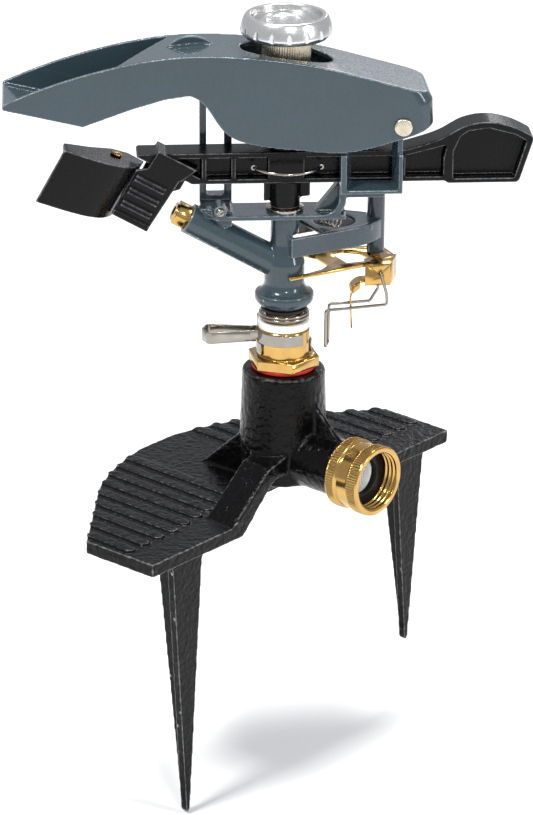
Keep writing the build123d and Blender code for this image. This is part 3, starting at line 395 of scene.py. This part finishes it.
def screen_wire(first, second, number, flip):
    """Points of one wire: it runs along second, number steps off the middle, over and under."""
    a = number * MESH_STEP
    reach = int(math.sqrt(max(0.0, SCREEN_R ** 2 - a ** 2)) / MESH_STEP)
    points = []
    for j in range(-reach, reach + 1):
        b = j * MESH_STEP
        rise = math.sqrt(DOME_R ** 2 - a * a - b * b) - DOME_R
        weave = 0.5 * MESH_WIRE * flip * (1 if (number + j) % 2 else -1)
        place = inlet_axis * (DOME_TIP + rise + weave) + first * a + second * b
        points.append(Vector(inlet_origin) + place * MM)
    return points


wires = []
count = int(SCREEN_R / MESH_STEP)
for first, second, flip in ((inlet_across, inlet_up, -1), (inlet_up, inlet_across, 1)):
    for number in range(-count, count + 1):
        points = screen_wire(first, second, number, flip)
        if len(points) > 1:
            wires.append(points)
rim = []
for k in range(RIM_SIDES + 1):
    turn = 2 * pi * k / RIM_SIDES
    place = inlet_axis * RIM_ALONG + inlet_across * (RIM_R * cos(turn)) + inlet_up * (RIM_R * sin(turn))
    rim.append(Vector(inlet_origin) + place * MM)
screen = tubes("screen_mesh", wires + [rim], MESH_WIRE * MM)
dress(screen, "filter_screen", gauze)

# ---- knurled stem of the knob --------------------------------------------------------------------
STEM_KNURLS, STEM_KNURL_DEPTH = 60, 0.45
STEM_BORE, STEM_TOP_R = 5.1, 7.9
stem_low, stem_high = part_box("knob_stem")
stem_r = (stem_high.x - stem_low.x) / 2 / MM
z0 = stem_low.z / MM
z1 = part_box("adjusting_knob")[0].z / MM
STEM = [
    (z0, STEM_BORE), (z0, stem_r - 0.5), (z0 + 0.5, stem_r - 0.05), (z0 + 1.6, stem_r - 0.05),
    (z0 + 2.0, stem_r - 0.6), (z0 + 2.6, stem_r - 0.6), (z0 + 3.0, stem_r), (z1 - 0.2, stem_r),
    (z1, stem_r - 0.4), (z1, STEM_TOP_R), (z1 + 1.8, STEM_TOP_R), (z1 + 1.8, STEM_BORE),
]


def stem_shape(along, radius, turn):
    """Straight knurls where the stem is widest."""
    if radius > stem_r - 0.02:
        return radius - STEM_KNURL_DEPTH * abs(sin(STEM_KNURLS * turn / 2))
    return radius


stem = lathe("knurled_stem", subdivided(STEM, 0.5), STEM_KNURLS * 6, (0, 0, 0), (0, 0, 1), (1, 0, 0),
             stem_shape)
dress(stem, "knob_stem")

# ---- CAD nodes that keep their own mesh -----------------------------------------------------------
for name, kept in frame["nodes"].items():
    kept.data.materials.clear()
    kept.data.materials.append(FINISH[slot_of[name]])

# ---- floor ----------------------------------------------------------------------------------------
HALF_FLOOR, FLOOR_GAP = 6.0, 0.0005
CORNERS = ((-1, -1), (1, -1), (1, 1), (-1, 1))
floor_mesh = bpy.data.meshes.new("floor")
floor_z = cad_low.z - FLOOR_GAP
floor_mesh.from_pydata([(x * HALF_FLOOR, y * HALF_FLOOR, floor_z) for x, y in CORNERS], [], [(0, 1, 2, 3)])
floor = new_object("floor", floor_mesh)
pale = surface("pale_floor", (0.86, 0.86, 0.86), 0.7, mottle=(400, 0.01), grain=(20, 0.0))
floor.data.materials.append(pale)

# ---- light ----------------------------------------------------------------------------------------
world = bpy.data.worlds.new("studio")
scene.world = world
world.use_nodes = True
background = world.node_tree.nodes["Background"]
background.inputs["Color"].default_value = (0.93, 0.95, 1.0, 1)
background.inputs["Strength"].default_value = 0.58
scene.view_settings.view_transform = "Standard"

LAMPS = {       # place in metres, size in metres, watts
    "key": ((-0.9, -0.7, 1.7), (0.3, 0.3), 26),
    "fill": ((1.4, -0.9, 0.8), (0.25, 0.9), 11),
    "front": ((0.3, -1.9, 1.5), (0.25, 0.25), 12),
    "top": ((0.2, 0.9, 2.0), (1.0, 0.5), 34),
    "glint": ((0.55, 1.65, 0.75), (0.35, 0.25), 1.1),
}
centre = (cad_low + cad_high) / 2
for name, (place, size, watts) in LAMPS.items():
    light = bpy.data.lights.new(name, "AREA")
    light.shape = "RECTANGLE"
    light.size, light.size_y = size
    light.energy = watts
    lamp = new_object(name, light)
    lamp.location = place
    lamp.rotation_euler = (centre - Vector(place)).to_track_quat("-Z", "Y").to_euler()

# ---- camera ---------------------------------------------------------------------------------------
CAMERA_PLACE = (-0.10696, -1.49451, 0.66815)
CAMERA_PITCH, CAMERA_ROLL, CAMERA_HEADING = 67.5723, -0.3360, -3.6613     # degrees about x, y and z
camera = new_object("camera", bpy.data.cameras.new("camera"))
camera.data.lens = 156.23
camera.data.sensor_width = 36.0
camera.data.clip_end = 50.0
camera.location = CAMERA_PLACE
camera.rotation_euler = (radians(CAMERA_PITCH), radians(CAMERA_ROLL), radians(CAMERA_HEADING))
scene.camera = camera
